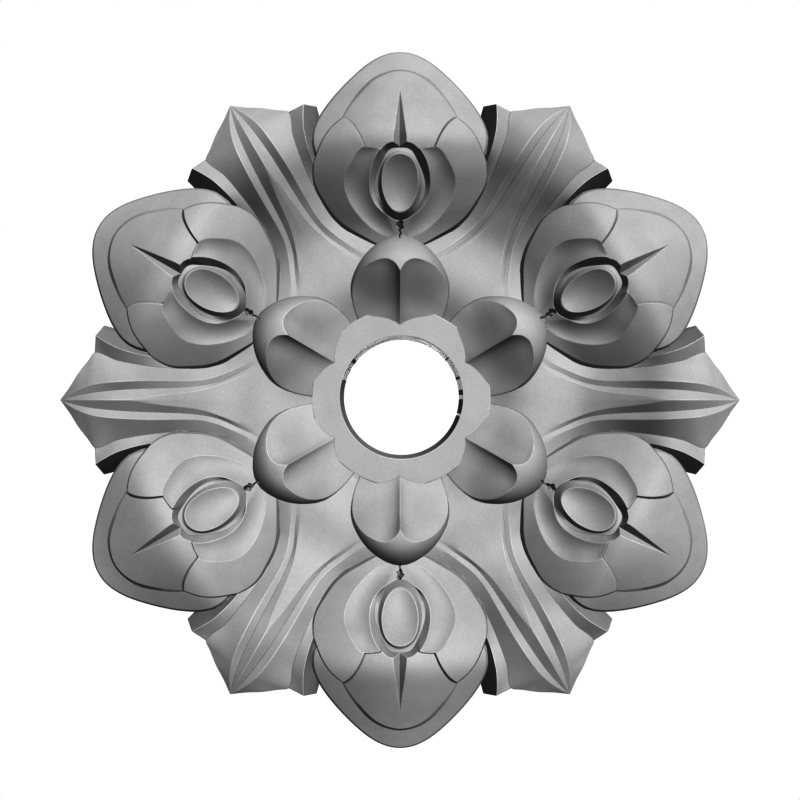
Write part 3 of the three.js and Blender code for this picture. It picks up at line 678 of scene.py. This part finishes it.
def gouge():
    """The petal's gouge as a cut: two hollow facets that meet in a sharp ridge."""
    ridge, middle, side = smooth(GOUGE_RIDGE), smooth(GOUGE_MIDDLE), smooth(GOUGE_SIDE)
    end_x = GOUGE_SIDE_X + GOUGE_BEYOND["x"]
    xs = [end_x * (j / GOUGE_COLUMNS) ** GOUGE_CROWDING for j in range(GOUGE_COLUMNS + 1)]
    rows = []
    for y in stations(GOUGE_STATIONS, GOUGE_STEPS):
        a, b, c = ridge(y), middle(y), side(y)
        knots = [(0, a)] + [(x, a + (b - a) * share) for x, share in GOUGE_ACROSS]
        knots += [(GOUGE_MIDDLE_X, b), (GOUGE_SIDE_X, c), (end_x, c + GOUGE_BEYOND["share"] * (c - b))]
        across = smooth(knots)
        rows.append(mirrored([(x, y, across(x)) for x in xs]))
    return solid("petal gouge", rows, ABOVE_ALL)


def circle(radius, x=0, y=0):
    """Points of an anticlockwise circle."""
    turns = [2 * math.pi * k / ROUND_SIDES for k in range(ROUND_SIDES)]
    return [(x + radius * math.cos(t), y + radius * math.sin(t)) for t in turns]


# Geometry Nodes: the layers of a bud, a leaf and a petal, each set out six times and carved as one piece
def node(tree, kind, **settings):
    """A new node of a tree with its settings."""
    made = tree.nodes.new(kind)
    for name, value in settings.items():
        setattr(made, name, value)
    return made


def object_input(tree, holder, name):
    """A named object socket on the tree, and the geometry of the object it is given."""
    tree.interface.new_socket(name, in_out="INPUT", socket_type="NodeSocketObject")
    info = node(tree, "GeometryNodeObjectInfo", transform_space="RELATIVE", label=name)
    tree.links.new(holder.outputs[name], info.inputs["Object"])
    return info.outputs["Geometry"]


def boolean(tree, operation, first, others):
    """Geometry joined with others, or cut by them."""
    made = node(tree, "GeometryNodeMeshBoolean", operation=operation, solver="MANIFOLD")
    if operation == "DIFFERENCE":
        tree.links.new(first, made.inputs["Mesh 1"])
    else:
        others = [first] + others
    for other in others:
        tree.links.new(other, made.inputs["Mesh 2"])
    return made.outputs["Mesh"]


def six_fold():
    """Node group: its geometry set out evenly round the axis, the first copy turned by an angle."""
    tree = bpy.data.node_groups.new("set out round the axis", "GeometryNodeTree")
    tree.interface.new_socket("Geometry", in_out="INPUT", socket_type="NodeSocketGeometry")
    tree.interface.new_socket("Count", in_out="INPUT", socket_type="NodeSocketInt")
    tree.interface.new_socket("First turn", in_out="INPUT", socket_type="NodeSocketFloat")
    tree.interface.new_socket("Geometry", in_out="OUTPUT", socket_type="NodeSocketGeometry")
    start, end = node(tree, "NodeGroupInput"), node(tree, "NodeGroupOutput")
    points = node(tree, "GeometryNodePoints")
    index = node(tree, "GeometryNodeInputIndex")
    share = node(tree, "ShaderNodeMath", operation="DIVIDE")
    turn = node(tree, "ShaderNodeMath", operation="MULTIPLY_ADD")
    euler = node(tree, "ShaderNodeCombineXYZ")
    place = node(tree, "GeometryNodeInstanceOnPoints")
    turn.inputs[1].default_value = 2 * math.pi
    for a, b in (
        (start.outputs["Count"], points.inputs["Count"]),
        (index.outputs[0], share.inputs[0]),
        (start.outputs["Count"], share.inputs[1]),
        (share.outputs[0], turn.inputs[0]),
        (start.outputs["First turn"], turn.inputs[2]),
        (turn.outputs[0], euler.inputs["Z"]),
        (points.outputs[0], place.inputs["Points"]),
        (start.outputs["Geometry"], place.inputs["Instance"]),
        (euler.outputs[0], place.inputs["Rotation"]),
        (place.outputs[0], end.inputs[0]),
    ):
        tree.links.new(a, b)
    return tree


def carve(name, parts, finish):
    """The whole rosette as one carved mesh object, from its layer objects by name."""
    round_axis = six_fold()
    tree = bpy.data.node_groups.new("carved rosette", "GeometryNodeTree")
    tree.interface.new_socket("Geometry", in_out="INPUT", socket_type="NodeSocketGeometry")
    tree.interface.new_socket("Copies", in_out="INPUT", socket_type="NodeSocketInt")
    tree.interface.new_socket("Finish", in_out="INPUT", socket_type="NodeSocketMaterial")
    tree.interface.new_socket("Geometry", in_out="OUTPUT", socket_type="NodeSocketGeometry")
    start, end = node(tree, "NodeGroupInput"), node(tree, "NodeGroupOutput")
    shape = {part: object_input(tree, start, part) for part in parts}

    def set_out(geometry, first_turn=0.0):
        group = node(tree, "GeometryNodeGroup", node_tree=round_axis)
        tree.links.new(geometry, group.inputs["Geometry"])
        tree.links.new(start.outputs["Copies"], group.inputs["Count"])
        group.inputs["First turn"].default_value = first_turn
        return group.outputs[0]

    bud = boolean(tree, "UNION", shape["band"], [shape["core"], shape["right sepal"], shape["left sepal"]])
    bud = boolean(tree, "DIFFERENCE", bud, [shape["spike"], shape["eye"]])
    petals = boolean(tree, "DIFFERENCE", shape["petal"], [shape["petal gouge"]])
    added = [set_out(bud), set_out(petals), shape["ring"], shape["hub"]]
    whole = boolean(tree, "UNION", set_out(shape["leaf"], math.pi / COUNT), added)
    whole = boolean(tree, "DIFFERENCE", whole, [set_out(shape["nick"]), shape["hole"], shape["wall slab"]])
    upright = node(tree, "GeometryNodeTransform")
    upright.inputs["Rotation"].default_value = (math.pi / 2, 0, 0)
    real = node(tree, "GeometryNodeRealizeInstances")
    paint = node(tree, "GeometryNodeSetMaterial")
    tree.links.new(whole, upright.inputs["Geometry"])
    tree.links.new(upright.outputs[0], real.inputs[0])
    tree.links.new(real.outputs[0], paint.inputs["Geometry"])
    tree.links.new(start.outputs["Finish"], paint.inputs["Material"])
    tree.links.new(paint.outputs[0], end.inputs[0])

    made = mesh_object(name, [], [])
    modifier = made.modifiers.new("carving", "NODES")
    modifier.node_group = tree
    for item in tree.interface.items_tree:
        if item.in_out != "INPUT" or item.name == "Geometry":
            continue
        if item.name == "Copies":
            modifier[item.identifier] = COUNT
        elif item.name == "Finish":
            modifier[item.identifier] = finish
        else:
            modifier[item.identifier] = parts[item.name]
    bpy.context.view_layer.update()
    evaluated = made.evaluated_get(bpy.context.evaluated_depsgraph_get())
    mesh = bpy.data.meshes.new_from_object(evaluated)
    made.modifiers.clear()
    made.data = mesh
    mesh.name = name
    for part in parts.values():
        bpy.data.objects.remove(part)
    return made


def values_of(items, name, width=1, kind=float):
    """One value of every mesh item, as a row of its own where it has more than one number."""
    out = np.empty(len(items) * width, kind)
    items.foreach_get(name, out)
    return out.reshape(-1, width) if width > 1 else out


def mark_creases(made):
    """Point attribute: 1 on the carved ridges, -1 in the carved hollows, 0 on the even surface."""
    mesh = made.data
    places = values_of(mesh.vertices, "co", 3)
    ends = values_of(mesh.edges, "vertices", 2, int)
    normals = values_of(mesh.polygon_normals, "vector", 3)
    centres = values_of(mesh.polygons, "center", 3)
    sizes = values_of(mesh.polygons, "loop_total", kind=int)
    edge_of_corner = values_of(mesh.loops, "edge_index", kind=int)
    face_of_corner = np.repeat(np.arange(len(sizes)), sizes)
    pairs = face_of_corner[np.argsort(edge_of_corner, kind="stable")].reshape(-1, 2)
    first, second = normals[pairs[:, 0]], normals[pairs[:, 1]]
    bend = np.arccos(np.clip((first * second).sum(1), -1, 1))
    side = np.sign((first * (centres[pairs[:, 0]] - centres[pairs[:, 1]])).sum(1))
    length = np.linalg.norm(places[ends[:, 0]] - places[ends[:, 1]], axis=1)
    strength = np.where(bend > CREASE_ANGLE, side, 0) * length
    total = np.zeros(len(places))
    np.add.at(total, ends[:, 0], strength)
    np.add.at(total, ends[:, 1], strength)
    mesh.attributes.new("crease", "FLOAT", "POINT").data.foreach_set("value", np.sign(total))


def shader_group(name, inputs, outputs):
    """An empty shader node group with its named inputs and outputs."""
    tree = bpy.data.node_groups.new(name, "ShaderNodeTree")
    for socket, kind in inputs:
        tree.interface.new_socket(socket, in_out="INPUT", socket_type="NodeSocket" + kind)
    for socket, kind in outputs:
        tree.interface.new_socket(socket, in_out="OUTPUT", socket_type="NodeSocket" + kind)
    return tree, node(tree, "NodeGroupInput"), node(tree, "NodeGroupOutput")


def maths(tree, operation, *values, clamp=False):
    """A maths node fed by numbers and sockets; gives its output socket."""
    made = node(tree, "ShaderNodeMath", operation=operation, use_clamp=clamp)
    for i, value in enumerate(values):
        if isinstance(value, (int, float)):
            made.inputs[i].default_value = value
        else:
            tree.links.new(value, made.inputs[i])
    return made.outputs[0]


def rounded_edges():
    """Node group: the normal rounded over the carved edges, and how much it turns there."""
    outputs = [("Normal", "Vector"), ("Turn", "Float")]
    tree, start, end = shader_group("rounded edges", [("Radius", "Float")], outputs)
    rounding = node(tree, "ShaderNodeBevel", samples=EDGE_SAMPLES)
    face = node(tree, "ShaderNodeNewGeometry")
    between = node(tree, "ShaderNodeVectorMath", operation="DOT_PRODUCT")
    tree.links.new(start.outputs["Radius"], rounding.inputs["Radius"])
    tree.links.new(rounding.outputs[0], between.inputs[0])
    tree.links.new(face.outputs["Normal"], between.inputs[1])
    off = maths(tree, "SUBTRACT", 1.0, between.outputs["Value"])
    tree.links.new(rounding.outputs[0], end.inputs["Normal"])
    tree.links.new(maths(tree, "MULTIPLY", off, EDGE_GAIN, clamp=True), end.inputs["Turn"])
    return tree


def stone_surface():
    """Node group: mottled grey with a fine grain, a painted highlight on the carved ridges in patches, and
    painted shade in the hollows.
    """
    inputs = [("Place", "Vector"), ("Crease", "Float"), ("Turn", "Float")]
    outputs = [("Colour", "Color"), ("Roughness", "Float"), ("Height", "Float")]
    tree, start, end = shader_group("stone surface", inputs, outputs)

    def noise(scale, detail, roughness):
        made = node(tree, "ShaderNodeTexNoise")
        made.inputs["Scale"].default_value = scale
        made.inputs["Detail"].default_value = detail
        made.inputs["Roughness"].default_value = roughness
        tree.links.new(start.outputs["Place"], made.inputs["Vector"])
        return made.outputs[0]

    def varied(texture, amount, base):
        """The base, moved up and down by a texture about its middle."""
        return maths(tree, "MULTIPLY_ADD", maths(tree, "SUBTRACT", texture, 0.5), amount, base)

    def creased(operation):
        """The ridges alone or the hollows alone, where the edge is rounded."""
        marked = maths(tree, operation, start.outputs["Crease"], 0.0)
        return maths(tree, "MULTIPLY", marked, start.outputs["Turn"])

    grain = noise(*GRAIN_NOISE)
    cloud = noise(*CLOUD_NOISE)
    patch = noise(*PATCH_NOISE)
    dressed = node(tree, "ShaderNodeTexVoronoi", feature="F1")
    dressed.inputs["Scale"].default_value = TOOL_SCALE
    tree.links.new(start.outputs["Place"], dressed.inputs["Vector"])

    tone = varied(cloud, CLOUD_TONE, BASE_TONE)
    tone = varied(patch, PATCH_TONE, tone)
    tone = varied(grain, GRAIN_TONE, tone)
    patches = maths(tree, "MULTIPLY_ADD", cloud, HIGHLIGHT_PATCHES["gain"], HIGHLIGHT_PATCHES["offset"], clamp=True)
    # Painted highlight on the carved ridges, in patches; the ridges are also a little smoother there
    ridge_highlight = maths(tree, "MULTIPLY", creased("MAXIMUM"), patches)
    tone = maths(tree, "MULTIPLY_ADD", ridge_highlight, RIDGE_HIGHLIGHT_TONE, tone)
    # Painted shade in the carved hollows
    tone = maths(tree, "MULTIPLY_ADD", creased("MINIMUM"), HOLLOW_SHADE_TONE, tone)
    colour = node(tree, "ShaderNodeCombineColor")
    for channel in range(3):
        tree.links.new(tone, colour.inputs[channel])
    rough = varied(cloud, CLOUD_ROUGHNESS, BASE_ROUGHNESS)
    rough = maths(tree, "MULTIPLY_ADD", ridge_highlight, RIDGE_ROUGHNESS, rough)
    height = maths(tree, "MULTIPLY_ADD", dressed.outputs["Distance"], TOOL_SHARE, grain)
    tree.links.new(colour.outputs[0], end.inputs["Colour"])
    tree.links.new(rough, end.inputs["Roughness"])
    tree.links.new(height, end.inputs["Height"])
    return tree


def stone():
    """Matte light grey cast stone with a fine grain."""
    material = bpy.data.materials.new("light grey stone")
    material.use_nodes = True
    tree = material.node_tree
    shader = tree.nodes["Principled BSDF"]
    place = node(tree, "ShaderNodeTexCoord")
    crease = node(tree, "ShaderNodeAttribute", attribute_name="crease")
    edges = node(tree, "ShaderNodeGroup", node_tree=rounded_edges())
    edges.inputs["Radius"].default_value = EDGE_RADIUS
    surface = node(tree, "ShaderNodeGroup", node_tree=stone_surface())
    bump = node(tree, "ShaderNodeBump")
    bump.inputs["Strength"].default_value = BUMP_STRENGTH
    bump.inputs["Distance"].default_value = BUMP_DEPTH
    for a, b in (
        (place.outputs["Object"], surface.inputs["Place"]),
        (crease.outputs["Fac"], surface.inputs["Crease"]),
        (edges.outputs["Turn"], surface.inputs["Turn"]),
        (surface.outputs["Colour"], shader.inputs["Base Color"]),
        (surface.outputs["Roughness"], shader.inputs["Roughness"]),
        (surface.outputs["Height"], bump.inputs["Height"]),
        (edges.outputs["Normal"], bump.inputs["Normal"]),
        (bump.outputs[0], shader.inputs["Normal"]),
    ):
        tree.links.new(a, b)
    return material


def sun_lamp(name, toward, energy, spread):
    """Parallel light from one direction, as wide as its spread."""
    data = bpy.data.lights.new(name, "SUN")
    data.energy = energy
    data.angle = spread
    made = bpy.data.objects.new(name, data)
    made.rotation_euler = Vector(toward).to_track_quat("Z", "Y").to_euler()
    bpy.context.scene.collection.objects.link(made)
    return data


def studio_camera():
    """A camera on the rosette's axis, straight in front of it."""
    data = bpy.data.cameras.new("camera")
    data.lens = LENS
    data.sensor_width = SENSOR_WIDTH
    made = bpy.data.objects.new("camera", data)
    made.location = (0, -CAMERA_DISTANCE, 0)
    made.rotation_euler = (math.pi / 2, 0, 0)
    bpy.context.scene.collection.objects.link(made)
    return made


def pale_floor():
    """A plain pale floor, well below the rosette."""
    low, high = -FLOOR_HALF, FLOOR_HALF
    corners = [(low, low, FLOOR_Z), (high, low, FLOOR_Z), (high, high, FLOOR_Z), (low, high, FLOOR_Z)]
    made = mesh_object("floor", corners, [[0, 1, 2, 3]])
    pale = bpy.data.materials.new("pale floor")
    pale.use_nodes = True
    shader = pale.node_tree.nodes["Principled BSDF"]
    shader.inputs["Base Color"].default_value = (FLOOR_TONE, FLOOR_TONE, FLOOR_TONE, 1)
    shader.inputs["Roughness"].default_value = FLOOR_ROUGHNESS
    made.data.materials.append(pale)
    return made


def studio_world():
    """White behind the rosette, and a faint even glow on it."""
    world = bpy.data.worlds.new("studio")
    world.use_nodes = True
    tree = world.node_tree
    backdrop = node(tree, "ShaderNodeBackground")
    backdrop.inputs["Color"].default_value = WHITE
    glow = tree.nodes["Background"]
    glow.inputs["Color"].default_value = WHITE
    glow.inputs["Strength"].default_value = GLOW
    rays = node(tree, "ShaderNodeLightPath")
    mix = node(tree, "ShaderNodeMixShader")
    tree.links.new(rays.outputs["Is Camera Ray"], mix.inputs[0])
    tree.links.new(glow.outputs[0], mix.inputs[1])
    tree.links.new(backdrop.outputs[0], mix.inputs[2])
    tree.links.new(mix.outputs[0], tree.nodes["World Output"].inputs["Surface"])
    return world


square = [(-SLAB_HALF, -SLAB_HALF), (SLAB_HALF, -SLAB_HALF), (SLAB_HALF, SLAB_HALF), (-SLAB_HALF, SLAB_HALF)]
parts = {
    "band": bud_layer("band", both_sides(BAND_SIDE), BUD_MIDDLE, BAND, BAND_WALL),
    "core": bud_layer("core", both_sides(CORE_SIDE), BUD_MIDDLE, CORE, CORE_WALL),
    "right sepal": sepal("right sepal", 1),
    "left sepal": sepal("left sepal", -1),
    "spike": spike(),
    "eye": eye(),
    "leaf": leaf(),
    "petal": petal(),
    "petal gouge": gouge(),
    "ring": prism("ring", circle(RING_RADIUS, *HOLE_OFFSET), BELOW_BACK, RING_FACE),
    "hub": prism("hub", circle(HUB_RADIUS), BELOW_BACK, HUB_FACE),
    "nick": crack(),
    "hole": prism("hole", circle(HOLE_RADIUS, *HOLE_OFFSET), -ABOVE_ALL, ABOVE_ALL),
    "wall slab": prism("wall slab", square, -SLAB_DEPTH, 0),
}
rosette = carve("rosette_carving", parts, stone())
rosette.data.shade_smooth()
rosette.data.set_sharp_from_angle(angle=SHARP_ANGLE)
mark_creases(rosette)
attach(rosette, "root")
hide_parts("rosette")

# Studio
bpy.context.scene.camera = studio_camera()
floor = pale_floor()
key_from = (
    math.sin(KEY_OFF_AXIS) * math.sin(KEY_CLOCK),
    -math.cos(KEY_OFF_AXIS),
    math.sin(KEY_OFF_AXIS) * math.cos(KEY_CLOCK),
)
sun_lamp("key light", key_from, KEY_ENERGY, KEY_SPREAD).use_shadow = False
sun_lamp("back light", (0, 1, 0), BACK_ENERGY, 0).specular_factor = 0
rosette.visible_diffuse = False
floor.visible_diffuse = False
bpy.context.scene.view_settings.view_transform = "Raw"
bpy.context.scene.world = studio_world()
